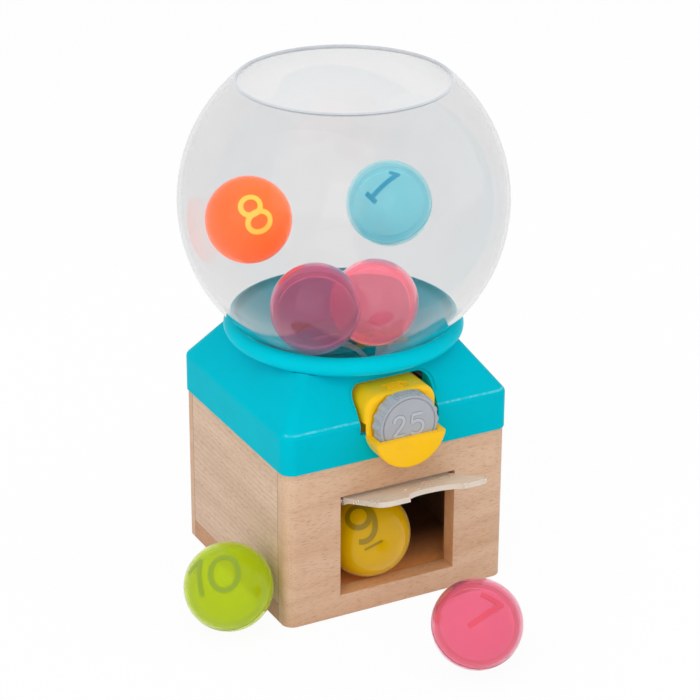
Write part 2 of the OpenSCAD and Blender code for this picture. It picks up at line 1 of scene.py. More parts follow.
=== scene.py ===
# %% [markdown]
# # A toy gumball machine, dressed around its construction model
# A toddler's gumball machine is a beech box with a teal cover, a clear bowl and a few large hollow balls.
# The solids come from its construction model and stay where they are. This script gives each of them a
# finish, and puts a finer mesh in the place of those that need it: the bowl, the balls and the spring.
# The numerals on the balls and the figures on the coin are added on top.

# %% Load the solids
import math

import bpy
from mathutils import Matrix, Vector


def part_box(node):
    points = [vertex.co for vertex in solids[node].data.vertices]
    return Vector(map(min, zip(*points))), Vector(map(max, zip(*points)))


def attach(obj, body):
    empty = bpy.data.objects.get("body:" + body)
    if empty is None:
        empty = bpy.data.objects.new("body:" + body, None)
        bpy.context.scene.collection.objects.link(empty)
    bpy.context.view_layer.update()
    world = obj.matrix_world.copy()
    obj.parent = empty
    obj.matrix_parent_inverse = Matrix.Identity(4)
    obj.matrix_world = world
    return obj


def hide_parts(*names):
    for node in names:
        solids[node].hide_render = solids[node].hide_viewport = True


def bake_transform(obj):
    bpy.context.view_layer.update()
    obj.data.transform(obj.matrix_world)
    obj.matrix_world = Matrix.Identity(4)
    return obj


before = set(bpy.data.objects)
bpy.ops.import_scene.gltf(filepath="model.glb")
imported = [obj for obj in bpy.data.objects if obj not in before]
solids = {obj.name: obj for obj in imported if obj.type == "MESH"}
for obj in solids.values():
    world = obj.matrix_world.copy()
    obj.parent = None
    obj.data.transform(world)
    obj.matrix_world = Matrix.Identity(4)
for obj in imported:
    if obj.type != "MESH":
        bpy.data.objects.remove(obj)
scene = bpy.context.scene
MM = 0.001  # Blender's unit is the metre


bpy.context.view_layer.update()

# %% [markdown]
# ## Camera
# A long lens stands to the front left, a little above the bowl's mouth, and keeps the box's edges nearly
# parallel. A camera can be aimed with a constraint, but a constraint can't give it a small roll. So this
# one is built from its own three axes: which way is right, up and backwards.

# %% Camera
CAMERA_AT = Vector((-0.57269, -1.09424, 0.67841))
YAW = math.radians(-27.789)
PITCH = math.radians(24.279)
ROLL = math.radians(0.247)
SENSOR_WIDTH = 36.0  # millimetres
PICTURE_WIDTH = 700.0  # pixels
FOCAL_LENGTH = 2554.05  # in the same pixels

back = Vector((math.sin(YAW) * math.cos(PITCH), -math.cos(YAW) * math.cos(PITCH), math.sin(PITCH)))
level_right = Vector((math.cos(YAW), math.sin(YAW), 0.0))
level_up = back.cross(level_right)
right = level_right * math.cos(ROLL) + level_up * math.sin(ROLL)
up = level_up * math.cos(ROLL) - level_right * math.sin(ROLL)
turn = Matrix((right, up, back)).transposed().to_4x4()

bpy.ops.object.select_all(action="DESELECT")
bpy.ops.object.camera_add(location=CAMERA_AT)
camera = bpy.context.object
camera.name = "camera"
camera.matrix_world = Matrix.Translation(CAMERA_AT) @ turn
camera.data.sensor_width = SENSOR_WIDTH
camera.data.lens = SENSOR_WIDTH * FOCAL_LENGTH / PICTURE_WIDTH
bpy.context.scene.camera = camera
print("lens:", round(camera.data.lens, 2), "mm")

# %% [markdown]
# ## Rays that look
# The studio is a plain white room. One bright world could light it, but would wash the colours out. So the
# world and the floor each have two sides: one that lights the toy, and one for the rays that look, which
# come from the camera, off gloss and through clear plastic. The Light Path node tells the rays apart.

# %% Rays that look
LOOKING_RAYS = ("Is Camera Ray", "Is Glossy Ray", "Is Transmission Ray")


def wire(tree, outlet, inlet):
    tree.links.new(outlet, inlet)


def feed(tree, value, inlet):
    """Wires a socket to the inlet, or sets the inlet to a plain value."""
    if isinstance(value, bpy.types.NodeSocket):
        wire(tree, value, inlet)
    else:
        inlet.default_value = value


def maths(tree, operation, first, second=None):
    """A Math node. Each of its values is a socket or a number."""
    node = tree.nodes.new("ShaderNodeMath")
    node.operation = operation
    feed(tree, first, node.inputs[0])
    if second is not None:
        feed(tree, second, node.inputs[1])
    return node.outputs[0]


def seen_rays(tree):
    """1 for the rays that look: from the camera, off gloss, and through clear plastic."""
    path = tree.nodes.new("ShaderNodeLightPath")
    looking = path.outputs[LOOKING_RAYS[0]]
    for kind in LOOKING_RAYS[1:]:
        looking = maths(tree, "MAXIMUM", looking, path.outputs[kind])
    return looking


def mix_to_output(tree, share, first, second, output_kind):
    """Mixes two shaders into a new output node. A share of 0 is all the first one."""
    mix = tree.nodes.new("ShaderNodeMixShader")
    output = tree.nodes.new(output_kind)
    wire(tree, share, mix.inputs["Fac"])
    wire(tree, first.outputs[0], mix.inputs[1])
    wire(tree, second.outputs[0], mix.inputs[2])
    wire(tree, mix.outputs[0], output.inputs["Surface"])


print("rays that look:", ", ".join(LOOKING_RAYS))

# %% [markdown]
# ## Even sky
# A room with white walls lights the toy from all sides. The world does the same with one even, slightly
# cool colour. Its strength is below 1, and the rays that look see it as pure white at a strength of 1.

# %% Even sky
SKY_COLOUR = (0.97, 0.98, 1.0, 1.0)
SKY_STRENGTH = 0.62
WHITE = (1.0, 1.0, 1.0, 1.0)

scene.view_settings.view_transform = "Standard"
world = bpy.data.worlds.new("studio")
scene.world = world
world.use_nodes = True
sky = world.node_tree
sky.nodes.clear()
sky_light = sky.nodes.new("ShaderNodeBackground")
sky_light.inputs["Color"].default_value = SKY_COLOUR
sky_light.inputs["Strength"].default_value = SKY_STRENGTH
sky_seen = sky.nodes.new("ShaderNodeBackground")
sky_seen.inputs["Color"].default_value = WHITE
sky_seen.inputs["Strength"].default_value = 1.0
mix_to_output(sky, seen_rays(sky), sky_light, sky_seen, "ShaderNodeOutputWorld")
print("sky nodes:", len(sky.nodes))

# %% [markdown]
# ## Soft lamps
# A large lamp from the upper left gives the main shade, a weak one on the right fills it, and one above
# lights the slopes of the cover. Area lamps this large leave soft shadows. Gloss doesn't see them,
# because their square reflections would look like windows on the bowl.

# %% Soft lamps
def soft_lamp(name, place, aim, size, power):
    """An area lamp, its size in metres and its power in watts, turned to its aim."""
    bpy.ops.object.light_add(type="AREA", location=place)
    lamp = bpy.context.object
    lamp.name = name
    lamp.rotation_euler = (Vector(aim) - Vector(place)).to_track_quat("-Z", "Y").to_euler()
    lamp.data.shape = "RECTANGLE"
    lamp.data.size = size[0]
    lamp.data.size_y = size[1]
    lamp.data.energy = power
    lamp.visible_glossy = False
    print(name, power, "W")


soft_lamp("key_lamp", (-1.1, -1.0, 1.3), (0, 0, 0.12), (2.4, 2.0), 18.5)
soft_lamp("side_lamp", (1.3, -0.7, 0.8), (0, 0, 0.12), (1.6, 1.6), 4.0)
soft_lamp("top_lamp", (0.1, 0.3, 1.6), (0, 0, 0.1), (1.8, 1.8), 6.5)

# %% [markdown]
# ## Paper floor
# The toy stands on white paper. Lamps strong enough to make paper quite white would bleach the toy, so
# for the rays that look, the floor is almost all self-lit, and the small matte share left keeps a soft
# shadow. For all other rays it is plain matte paper, which throws light back up on the toy.

# %% Paper floor
FLOOR_SIZE = 12.0
FLOOR_GAP = 0.2 * MM  # keeps the floor's face apart from the underside of the box
PAPER = (0.86, 0.86, 0.86, 1.0)
SELF_LIT_SHARE = 0.95

bpy.ops.object.select_all(action="DESELECT")
bpy.ops.mesh.primitive_plane_add(size=FLOOR_SIZE, location=(0, 0, -FLOOR_GAP))
floor = bpy.context.object
floor.name = "floor"
paper = bpy.data.materials.new("pale_floor")
paper.use_nodes = True
paper_tree = paper.node_tree
paper_tree.nodes.clear()
matte = paper_tree.nodes.new("ShaderNodeBsdfDiffuse")
matte.inputs["Color"].default_value = PAPER
self_lit = paper_tree.nodes.new("ShaderNodeEmission")
self_lit.inputs["Strength"].default_value = 1.0
lit_share = maths(paper_tree, "MULTIPLY", seen_rays(paper_tree), SELF_LIT_SHARE)
mix_to_output(paper_tree, lit_share, matte, self_lit, "ShaderNodeOutputMaterial")
floor.data.materials.append(paper)
print("floor:", FLOOR_SIZE, "m wide, self-lit share", SELF_LIT_SHARE)

# %% [markdown]
# ## Colours and soft steps
# Every finish below is made from the same few nodes. They could be placed one by one in the shader
# editor. Written once as functions, they let each material read like a short recipe.

# %% Colours and soft steps
def srgb(red, green, blue):
    """A colour written from 0 to 255, as Blender's linear values."""
    def linear(value):
        value /= 255.0
        return value / 12.92 if value <= 0.04045 else ((value + 0.055) / 1.055) ** 2.4
    return (linear(red), linear(green), linear(blue), 1.0)


def times(tree, first, second):
    return maths(tree, "MULTIPLY", first, second)


def ramp(tree, value, low, high, out_low=0.0, out_high=1.0, kind="SMOOTHSTEP"):
    """A soft step from out_low to out_high while the value goes from low to high."""
    node = tree.nodes.new("ShaderNodeMapRange")
    node.interpolation_type = kind
    node.inputs["From Min"].default_value = low
    node.inputs["From Max"].default_value = high
    feed(tree, out_low, node.inputs["To Min"])
    feed(tree, out_high, node.inputs["To Max"])
    wire(tree, value, node.inputs["Value"])
    return node.outputs["Result"]


def blend_colour(tree, share, first, second, mode="MIX"):
    """A blend of two colours. A share of 0 is all the first one."""
    node = tree.nodes.new("ShaderNodeMix")
    node.data_type = "RGBA"
    node.blend_type = mode
    node.clamp_factor = True
    feed(tree, share, node.inputs["Factor"])
    feed(tree, first, node.inputs[6])
    feed(tree, second, node.inputs[7])
    return node.outputs[2]


print("mid grey as a linear value:", round(srgb(128, 128, 128)[0], 3))

# %% [markdown]
# ## Patterns
# Wood, haze and wear are all noise, pulled into shape. Each pattern reads the object's own coordinates in
# metres, so it stays on its piece when the piece moves, and it runs right through the material.

# %% Patterns
def noise(tree, vector, scale, detail=3.0, rough=0.5):
    """Cloudy noise, with its scale in features per metre."""
    node = tree.nodes.new("ShaderNodeTexNoise")
    node.inputs["Scale"].default_value = scale
    node.inputs["Detail"].default_value = detail
    node.inputs["Roughness"].default_value = rough
    wire(tree, vector, node.inputs["Vector"])
    return node.outputs["Fac"]


def stretch(tree, vector, scale, shift=(0, 0, 0), spin=(0, 0, 0)):
    """Moves, turns and scales the coordinates of a pattern."""
    node = tree.nodes.new("ShaderNodeMapping")
    node.inputs["Location"].default_value = shift
    node.inputs["Rotation"].default_value = spin
    node.inputs["Scale"].default_value = scale
    wire(tree, vector, node.inputs["Vector"])
    return node.outputs["Vector"]


def axes_of(tree, vector):
    """The X, Y and Z of a vector, each as a socket with that name."""
    node = tree.nodes.new("ShaderNodeSeparateXYZ")
    wire(tree, vector, node.inputs[0])
    return node.outputs


def object_place(tree):
    """Where a point lies on its piece, in metres."""
    return tree.nodes.new("ShaderNodeTexCoord").outputs["Object"]


print("pattern helpers work in metres")

# %% [markdown]
# ## Node groups
# A pattern that several materials share is a node group with named inputs and outputs, so that each
# material can give it its own values. The surface shader itself stays in the material.

# %% Node groups
def new_group(name, inlets, outlets):
    """An empty node group with named inputs (name, kind, value) and outputs (name, kind)."""
    group = bpy.data.node_groups.new(name, "ShaderNodeTree")
    for label, kind, value in inlets:
        socket = group.interface.new_socket(name=label, in_out="INPUT", socket_type=kind)
        if value is not None:
            socket.default_value = value
    for label, kind in outlets:
        group.interface.new_socket(name=label, in_out="OUTPUT", socket_type=kind)
    return group, group.nodes.new("NodeGroupInput"), group.nodes.new("NodeGroupOutput")


VECTOR = "NodeSocketVector"
COLOUR = "NodeSocketColor"
FLOAT = "NodeSocketFloat"
SURFACE_OUTLETS = [("Color", COLOUR), ("Roughness", FLOAT), ("Height", FLOAT)]
print("a group gives", [label for label, kind in SURFACE_OUTLETS])

# %% [markdown]
# ## Beech grain
# Beech is pale and even. What shows is a fine scatter of short dark flecks along the grain, soft bands of
# growth, and darker, speckled ends. A picture of a board would repeat and would need unwrapping. Noise
# that is stretched along the grain gives as much as is wanted, right through the wood. It is one
# node group, whose Vector runs along the grain in X, so each board only has to turn its coordinates.

# %% Beech grain
# Features per metre, first along the grain and then across it both ways.
TONE_SCALE = (6, 60, 60)
SWIRL_SCALE = (9, 28, 28)
FLECK_SCALE = (260, 2400, 2400)
LONG_FLECK_SCALE = (170, 1500, 1500)
PORE_SCALE = (900, 1500, 1500)
RING_RATE = 260.0  # half rings per metre, before the spacing

beech, beech_in, beech_out = new_group(
    "beech_grain",
    [("Vector", VECTOR, None), ("Light", COLOUR, srgb(223, 188, 157)), ("Dark", COLOUR, srgb(198, 153, 118)),
     ("Fleck", COLOUR, srgb(164, 104, 68)), ("Ring spacing", FLOAT, 1.0), ("Ring strength", FLOAT, 0.1),
     ("Swirl", FLOAT, 9.0), ("End grain", FLOAT, 0.0)],
    SURFACE_OUTLETS)
grain_at = beech_in.outputs["Vector"]
light_wood = beech_in.outputs["Light"]
fleck_brown = beech_in.outputs["Fleck"]


def grain_noise(scale, detail, rough=0.5, shift=(0, 0, 0)):
    return noise(beech, stretch(beech, grain_at, scale, shift), 1.0, detail, rough)


broad = grain_noise(TONE_SCALE, 2.0)
tone = blend_colour(beech, ramp(beech, broad, 0.3, 0.7), light_wood, beech_in.outputs["Dark"])
even_tone = blend_colour(beech, 0.55, tone, light_wood)

swirl = grain_noise(SWIRL_SCALE, 3.0, 0.55)
waved = times(beech, swirl, beech_in.outputs["Swirl"])
across_grain = times(beech, axes_of(beech, grain_at)["Z"], RING_RATE)
ring_at = maths(beech, "ADD", waved, times(beech, across_grain, beech_in.outputs["Ring spacing"]))
rings = ramp(beech, maths(beech, "PINGPONG", ring_at, 1.0), 0.5, 1.0)
ringed = blend_colour(beech, times(beech, rings, beech_in.outputs["Ring strength"]), even_tone, fleck_brown)

fine_flecks = ramp(beech, grain_noise(FLECK_SCALE, 1.0), 0.57, 0.72)
long_flecks = ramp(beech, grain_noise(LONG_FLECK_SCALE, 1.0, shift=(3, 1, 2)), 0.56, 0.74)
flecks = maths(beech, "MAXIMUM", fine_flecks, times(beech, long_flecks, 0.8))
flecked = blend_colour(beech, times(beech, flecks, 0.42), ringed, fleck_brown)

pores = ramp(beech, grain_noise(PORE_SCALE, 2.0), 0.42, 0.66)
end_speckle = maths(beech, "ADD", times(beech, pores, 0.5), 0.4)
ended = blend_colour(beech, times(beech, beech_in.outputs["End grain"], end_speckle), flecked, fleck_brown)

grain_height = maths(beech, "SUBTRACT", times(beech, rings, 0.15), times(beech, flecks, 0.6))
wire(beech, ended, beech_out.inputs["Color"])
wire(beech, ramp(beech, swirl, 0.2, 0.8, 0.42, 0.56), beech_out.inputs["Roughness"])
wire(beech, grain_height, beech_out.inputs["Height"])
print("beech group nodes:", len(beech.nodes))

# %% [markdown]
# ## Shade inside the box
# Inside the box and in its doorway little light comes in, so the beech's colour carries painted shade and
# painted bounce light: a warmer, darker tone in the reveal of the doorway, a warm painted bounce light on
# the floor just behind it, and dark painted shade towards the back. A lamp can't take light away, so the
# wood's colour is multiplied by a tone, and the tone follows the place of a point in the box.

# %% Shade inside the box
STEP = 0.3 * MM  # half the width of a soft edge
ROOM_X = 55.3 * MM  # half the room inside the box
ROOM_Y = 52.3 * MM
DOOR_X = 34.5 * MM  # half the doorway
DOOR_Y = (-61.5 * MM, -51.5 * MM)
DOOR_Z = (11.8 * MM, 70.8 * MM)
# Tones of painted shade in the reveal and at the back, and of painted bounce light on the floor near the
# door.
REVEAL_SHADE_TONE = (1.06, 0.88, 0.66, 1)
NEAR_BOUNCE_LIGHT_TONE = (1.5, 1.14, 0.74, 1)
BACK_SHADE_TONE = (0.2, 0.13, 0.09, 1)


def below(tree, value, high):
    """1 below high and 0 above it."""
    return ramp(tree, value, high - STEP, high + STEP, 1.0, 0.0)


def within(tree, value, low, high):
    """1 between low and high, and 0 outside."""
    return times(tree, ramp(tree, value, low - STEP, low + STEP), below(tree, value, high))


# Painted shade and painted bounce light, multiplied into the wood by where a point lies in the box.
def paint_shade_inside(tree, place, colour):
    across = maths(tree, "ABSOLUTE", place["X"])
    room = times(tree, below(tree, across, ROOM_X), below(tree, maths(tree, "ABSOLUTE", place["Y"]), ROOM_Y))
    reveal = times(tree, within(tree, place["Y"], *DOOR_Y), within(tree, place["Z"], *DOOR_Z))
    doorway = times(tree, below(tree, across, DOOR_X), reveal)
    behind = blend_colour(tree, ramp(tree, place["Y"], -45.0 * MM, -8.0 * MM), NEAR_BOUNCE_LIGHT_TONE, BACK_SHADE_TONE)
    tone = blend_colour(tree, ramp(tree, place["Y"], -52.4 * MM, -51.6 * MM), REVEAL_SHADE_TONE, behind)
    shaded = blend_colour(tree, 1.0, colour, tone, "MULTIPLY")
    return blend_colour(tree, maths(tree, "MAXIMUM", room, doorway), colour, shaded)


print("room inside the box:", round(2 * ROOM_X, 4), "x", round(2 * ROOM_Y, 4), "m")

# %% [markdown]
# ## A new surface
# Blender's Principled shader is the surface itself. A picture of height could make it uneven. Here the
# height is one of the patterns, and a Bump node turns it into a change of the surface's direction, which
# is enough for grain, peel and drawn lines.

# %% A new surface
def fresh_material(name):
    """A new material, its node tree, and its surface shader, which this script calls its skin."""
    mat = bpy.data.materials.new(name)
    mat.use_nodes = True
    return mat, mat.node_tree, mat.node_tree.nodes["Principled BSDF"]


def bump(tree, height, strength, distance, skin):
    node = tree.nodes.new("ShaderNodeBump")
    node.inputs["Strength"].default_value = strength
    node.inputs["Distance"].default_value = distance
    wire(tree, height, node.inputs["Height"])
    wire(tree, node.outputs["Normal"], skin.inputs["Normal"])


print("surface helpers: fresh_material, bump")

# %% [markdown]
# ## Beech boards
# Grain runs left to right in the front, back and bottom boards, and front to back in the sides. The ends
# of a board drink more finish and come out darker: a board knows its ends by the way that a face looks. A
# fine dark line is coloured in along the glued joints, because the boards meet flush, and their geometry
# alone wouldn't show where.

# %% Beech boards
JOINT_HALF = 0.35 * MM
JOINT_BROWN = srgb(96, 66, 46)
PANEL_JOINT = ("Y", 52.0 * MM)  # where the sides meet the front and back panels
BOTTOM_JOINT = ("Z", 10.5 * MM)


def joint_line(tree, value, at):
    """1 on the two planes this far from the middle, and 0 away from them."""
    off = maths(tree, "ABSOLUTE", maths(tree, "SUBTRACT", maths(tree, "ABSOLUTE", value), at))
    return ramp(tree, off, JOINT_HALF * 0.4, JOINT_HALF, 1.0, 0.0)


def beech_material(name, along, shift, tilt=0.0, joints=(), ends=0.12, values=None):
    """Beech with its grain along an axis. values holds the group's inputs that differ from the usual ones."""
    mat, tree, skin = fresh_material(name)
    coords = tree.nodes.new("ShaderNodeTexCoord")
    spin = {"X": (0, tilt, 0), "Y": (0, tilt, -math.pi / 2)}[along]
    grain = tree.nodes.new("ShaderNodeGroup")
    grain.node_tree = beech
    wire(tree, stretch(tree, coords.outputs["Object"], (1, 1, 1), shift, spin), grain.inputs["Vector"])
    for label, value in (values or {}).items():
        grain.inputs[label].default_value = value
    facing = maths(tree, "ABSOLUTE", axes_of(tree, coords.outputs["Normal"])[along])
    wire(tree, ramp(tree, facing, 0.75, 0.98, 0.0, ends), grain.inputs["End grain"])
    colour = grain.outputs["Color"]
    place = axes_of(tree, coords.outputs["Object"])
    for axis, at in joints:
        line_share = times(tree, joint_line(tree, place[axis], at), 0.6)
        colour = blend_colour(tree, line_share, colour, JOINT_BROWN)
    wire(tree, paint_shade_inside(tree, place, colour), skin.inputs["Base Color"])
    wire(tree, grain.outputs["Roughness"], skin.inputs["Roughness"])
    skin.inputs["Specular IOR Level"].default_value = 0.3
    bump(tree, grain.outputs["Height"], 0.35, 0.25 * MM, skin)
    return mat


print("joints are", round(2 * JOINT_HALF, 5), "m wide")

# %% [markdown]
# ## Dressing the wood
# Each board gets beech from another place in the same pattern, as boards cut from different planks do.
# The solids keep their meshes, and only their materials are exchanged.

# %% Dressing the wood
def dress(mat, *names):
    """Gives each named solid this material, in every slot it has."""
    for name in names:
        slots = solids[name].material_slots
        if not slots:
            solids[name].data.materials.append(mat)
        for slot in slots:
            slot.material = mat
    print(mat.name, "on", ", ".join(names))


front_wood = beech_material("beech_front", "X", (0.02, 0.3, 0.11), tilt=0.05, joints=[PANEL_JOINT],
                            values={"Ring spacing": 0.55})
side_wood = beech_material("beech_sides", "Y", (0.4, 0.15, 0.02), tilt=-0.03,
                           joints=[PANEL_JOINT, BOTTOM_JOINT],
                           values={"Light": srgb(226, 197, 170), "Dark": srgb(196, 158, 130),
                                   "Ring spacing": 2.3, "Ring strength": 0.18, "Swirl": 5.0})
board_wood = beech_material("beech_board", "X", (0.7, 0.02, 0.05), joints=[PANEL_JOINT], ends=0.6,
                            values={"Light": srgb(216, 166, 122)})
inside_wood = beech_material("beech_inside", "Y", (0.1, 0.5, 0.4), values={"Ring spacing": 0.8})
dress(front_wood, "front_panel", "back_panel")
dress(side_wood, "left_panel", "right_panel")
dress(board_wood, "bottom_board")
dress(inside_wood, "return_ramp", "corner_blocks")

# %% [markdown]
# ## Moulded surface
# Toy plastic is glossy but never a perfect mirror: the mould leaves a faint orange peel, the gloss varies
# a little, and handling lays a fine haze on it. Roughness alone would make it look like wax, so one node
# group gives that haze and peel, and every plastic below uses it with its own values.

# %% Moulded surface
HAZE_SCALE = 38.0
GRIT_SCALE = 2400.0
PEEL_SCALE = 160.0
HAZE_TONE = (0.02, 0.02, 0.02, 1)

peel, peel_in, peel_out = new_group(
    "moulded_surface",
    [("Vector", VECTOR, None), ("Color", COLOUR, (0.5, 0.5, 0.5, 1)), ("Gloss low", FLOAT, 0.2),
     ("Gloss high", FLOAT, 0.34), ("Mottle", FLOAT, 0.06)],
    SURFACE_OUTLETS)
skin_at = peel_in.outputs["Vector"]
haze = noise(peel, skin_at, HAZE_SCALE, 4.0, 0.6)
grit = noise(peel, skin_at, GRIT_SCALE, 2.0)
peel_wave = noise(peel, skin_at, PEEL_SCALE, 2.0)
dull_share = times(peel, ramp(peel, haze, 0.35, 0.75), peel_in.outputs["Mottle"])
hazed_gloss = ramp(peel, haze, 0.3, 0.7, peel_in.outputs["Gloss low"], peel_in.outputs["Gloss high"],
                   "LINEAR")
wire(peel, blend_colour(peel, dull_share, peel_in.outputs["Color"], HAZE_TONE), peel_out.inputs["Color"])
wire(peel, hazed_gloss, peel_out.inputs["Roughness"])
wire(peel, maths(peel, "ADD", times(peel, grit, 0.25), peel_wave), peel_out.inputs["Height"])
print("moulded surface nodes:", len(peel.nodes))

# %% [markdown]
# ## Moulded plastic
# One function makes every plastic here, because they differ in little more than colour and gloss. It can
# also paint the colour of a clear plastic where it turns away from the eye, as a painted pale edge highlight
# or a deeper edge, and give it a little light of its own, painted light which stands for light scattered in
# the material.

# %% Moulded plastic
NO_EDGE = (0.0, None)


def turned_away(tree, blend, low, high):
    """0 where a surface faces the eye, and 1 where it turns away from it."""
    weight = tree.nodes.new("ShaderNodeLayerWeight")
    weight.inputs["Blend"].default_value = blend
    return ramp(tree, weight.outputs["Facing"], low, high)


def plastic(name, colour, gloss, mottle=0.06, ior=1.48, shine=0.5, glow=0.0, see_through=0.0,
            edge=NO_EDGE, peel_depth=0.04 * MM):
    """Moulded plastic. gloss is its least and greatest roughness, edge the share and colour at its edges."""
    mat, tree, skin = fresh_material(name)
    surface = tree.nodes.new("ShaderNodeGroup")
    surface.node_tree = peel
    wire(tree, object_place(tree), surface.inputs["Vector"])
    surface.inputs["Color"].default_value = colour
    surface.inputs["Gloss low"].default_value = gloss[0]
    surface.inputs["Gloss high"].default_value = gloss[1]
    surface.inputs["Mottle"].default_value = mottle
    final = surface.outputs["Color"]
    edge_share, edge_colour = edge
    if edge_share > 0:
        at_edge = times(tree, turned_away(tree, 0.4, 0.5, 0.95), edge_share)
        final = blend_colour(tree, at_edge, final, edge_colour)
    wire(tree, final, skin.inputs["Base Color"])
    wire(tree, surface.outputs["Roughness"], skin.inputs["Roughness"])
    skin.inputs["IOR"].default_value = ior
    skin.inputs["Specular IOR Level"].default_value = shine
    skin.inputs["Transmission Weight"].default_value = see_through
    if glow > 0:
        wire(tree, final, skin.inputs["Emission Color"])
    skin.inputs["Emission Strength"].default_value = glow
    bump(tree, surface.outputs["Height"], 0.12, peel_depth, skin)
    return mat


print("plastics share the group", peel.name)

# %% [markdown]
# ## Coloured plastics
# The cover and its collar are teal, the lever yellow, the coin silver grey, and the parts inside white.
# The teal is a rather soft shine, the yellow a wetter one, and grey and white are dull. The collar's teal is
# painted a touch brighter than the cover's, painted light for the light it catches from the bowl, and the
# yellow has a little light of its own, painted light that brightens the lever.

# %% Coloured plastics
teal = plastic("teal_gloss", srgb(0, 191, 210), (0.16, 0.26), ior=1.1, shine=0.15)
# The collar's colour is painted lighter than the cover's: painted light from the bowl.
collar_teal_painted_lighter = plastic("collar_teal_gloss", srgb(0, 204, 223), (0.16, 0.26), ior=1.14, shine=0.15)
# The yellow's glow is painted light that brightens the lever.
yellow = plastic("yellow_gloss", srgb(250, 195, 18), (0.2, 0.32), ior=1.3, glow=0.08)
grey = plastic("silver_grey", srgb(176, 180, 187), (0.36, 0.5), mottle=0.1)
white = plastic("inner_white", srgb(232, 232, 226), (0.35, 0.5))
dress(teal, "top_cover")
dress(collar_teal_painted_lighter, "bowl_collar")
dress(yellow, "coin_lever")
dress(grey, "coin")
dress(white, "ball_gate", "ball_channel", "left_axle_bracket", "right_axle_bracket")

# %% [markdown]
# ## Painted crease highlight
# Where the front slope of the cover folds into its upright band, the rounded fold catches the light, and it
# shows as a thin, lighter line. A bevel on the solid would change its shape, so the highlight is painted in
# instead: a strip of the teal, less than a millimetre high, grows paler, unevenly, by a noise.

# %% Painted crease highlight
CREASE_Y = (-70.0 * MM, -58.0 * MM)
CREASE_Z = (110.2 * MM, 111.0 * MM)
CREASE_HIGHLIGHT_TEAL = srgb(130, 220, 232)

cover_tree = teal.node_tree
cover_skin = cover_tree.nodes["Principled BSDF"]
cover_place = object_place(cover_tree)
cover_axes = axes_of(cover_tree, cover_place)
# A painted highlight along the front crease, broken up by a noise.
crease = times(cover_tree, within(cover_tree, cover_axes["Z"], *CREASE_Z),
               within(cover_tree, cover_axes["Y"], *CREASE_Y))
highlight_breakup = ramp(cover_tree, noise(cover_tree, cover_place, 420.0), 0.4, 0.6, 0.15, 0.5)
moulded_teal = cover_skin.inputs["Base Color"].links[0].from_socket
highlighted_teal = blend_colour(cover_tree, times(cover_tree, crease, highlight_breakup), moulded_teal, CREASE_HIGHLIGHT_TEAL)
wire(cover_tree, highlighted_teal, cover_skin.inputs["Base Color"])
print("cover nodes:", len(cover_tree.nodes))

# %% [markdown]
# ## Light in the dish
# A clear bowl gathers light in the teal dish under it. Tracing such light takes very many samples, so the
# dish gives a weak teal light of its own: the emission colour is black outside the dish and teal within
# its radius.

# %% Light in the dish
DISH_EDGE = (54.0 * MM, 58.0 * MM)
NO_LIGHT = (0.0, 0.0, 0.0, 1)
DISH_LIGHT = (0.07, 0.15, 0.18, 1)

dish_tree = collar_teal_painted_lighter.node_tree
dish_skin = dish_tree.nodes["Principled BSDF"]
dish_axes = axes_of(dish_tree, object_place(dish_tree))
squares = [times(dish_tree, dish_axes[axis], dish_axes[axis]) for axis in ("X", "Y")]
from_middle = maths(dish_tree, "SQRT", maths(dish_tree, "ADD", squares[0], squares[1]))
in_dish = ramp(dish_tree, from_middle, DISH_EDGE[0], DISH_EDGE[1], 1.0, 0.0)
wire(dish_tree, blend_colour(dish_tree, in_dish, NO_LIGHT, DISH_LIGHT), dish_skin.inputs["Emission Color"])
dish_skin.inputs["Emission Strength"].default_value = 1.0
print("dish lit within", DISH_EDGE[0], "m of the axis")

# %% [markdown]
# ## Steel
# The axle, pins, screws and spring are drawn wire: fine lines run round them and break up the shine. An
# even metal would look like chrome. Noise that is squeezed hard across the wire draws those lines, in the
# colour and the roughness alike.

# %% Steel
WIRE_SCALE = (300, 4000, 4000)


def clouded(tree, skin, cloud, gloss, first, second):
    """Lets one noise vary the roughness and the colour of a surface together."""
    wire(tree, ramp(tree, cloud, 0.3, 0.7, gloss[0], gloss[1]), skin.inputs["Roughness"])
    wire(tree, blend_colour(tree, ramp(tree, cloud, 0.3, 0.7), first, second), skin.inputs["Base Color"])


steel, steel_tree, steel_skin = fresh_material("drawn_steel")
drawn = noise(steel_tree, stretch(steel_tree, object_place(steel_tree), WIRE_SCALE), 1.0)
clouded(steel_tree, steel_skin, drawn, (0.22, 0.42), srgb(176, 178, 182), srgb(206, 208, 212))
steel_skin.inputs["Metallic"].default_value = 1.0
bump(steel_tree, drawn, 0.1, 0.03 * MM, steel_skin)
dress(steel, "board_screws", "cover_screws", "lever_axle", "bracket_screws", "return_spring", "gate_pin",
      "channel_screws", "flap_pin")

# %% [markdown]
# ## Return spring
# A torsion spring winds up as the lever turns: its lower leg stays on the bracket and its upper leg goes
# with the pin. The solid can't do that, because it belongs to the base. So its mesh is copied, its loose
# triangles are merged into one skin, and the copy, in steel, is shown in place of the solid.

# %% Return spring
MERGE_WIRE = 0.000001


def pick(piece):
    """Selects this piece alone and makes it active, as a click does."""
    bpy.ops.object.select_all(action="DESELECT")
    piece.select_set(True)
    bpy.context.view_layer.objects.active = piece


def edit_all(piece):
    """Opens a piece in edit mode with all of it selected."""
    pick(piece)
    bpy.ops.object.mode_set(mode="EDIT")
    bpy.ops.mesh.select_all(action="SELECT")


def middle_of(name):
    low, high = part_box(name)
    return (Vector(low) + Vector(high)) / 2


